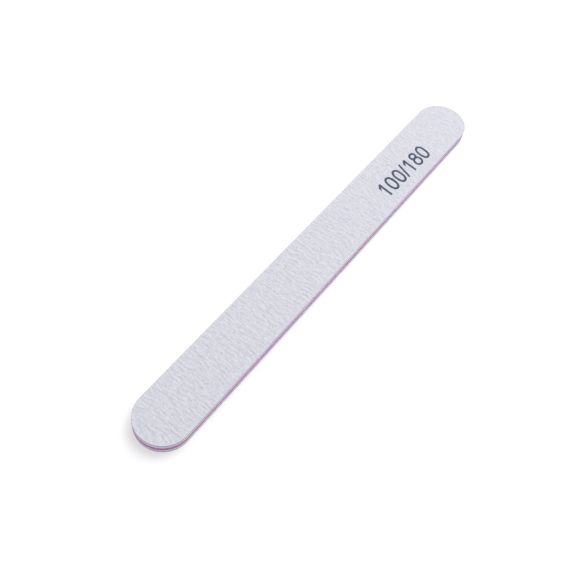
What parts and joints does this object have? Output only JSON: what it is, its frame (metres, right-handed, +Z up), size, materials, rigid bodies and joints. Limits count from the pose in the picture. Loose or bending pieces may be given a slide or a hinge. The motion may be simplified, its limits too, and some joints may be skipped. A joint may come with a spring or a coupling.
{
  "type": "emery board",
  "caption": "Straight emery board with half-round ends: abrasive sheets bonded over foam pads on a stiff plastic core, for filing and shaping nails by hand.",
  "frame": {"origin": "middle of the lower, fine-grit face, on the plane that the board rests on", "axes": "+X along the board towards the end that carries the grit numbers, +Y across it, +Z up through the layers to the coarse face"},
  "size_m": [0.178, 0.019, 0.0047],
  "materials": {
    "coarse_abrasive": "coarse abrasive grain under a matte soap coat, pressed into low ripples",
    "fine_abrasive": "fine abrasive grain under a matte soap coat, pressed into low ripples",
    "backing_paper": "latex-soaked paper, cut edge",
    "adhesive": "clear soft adhesive film",
    "foam": "closed-cell foam, die-cut edge",
    "core": "coloured polystyrene sheet, sheared edge"
  },
  "bodies": {
    "root": {"fine_coat": "fine_abrasive", "lower_paper": "backing_paper", "lower_paper_adhesive": "adhesive", "lower_foam_pad": "foam", "lower_core_adhesive": "adhesive", "plastic_core": "core", "upper_core_adhesive": "adhesive", "upper_foam_pad": "foam", "upper_paper_adhesive": "adhesive", "upper_paper": "backing_paper", "coarse_coat": "coarse_abrasive"}
  },
  "joints": []
}
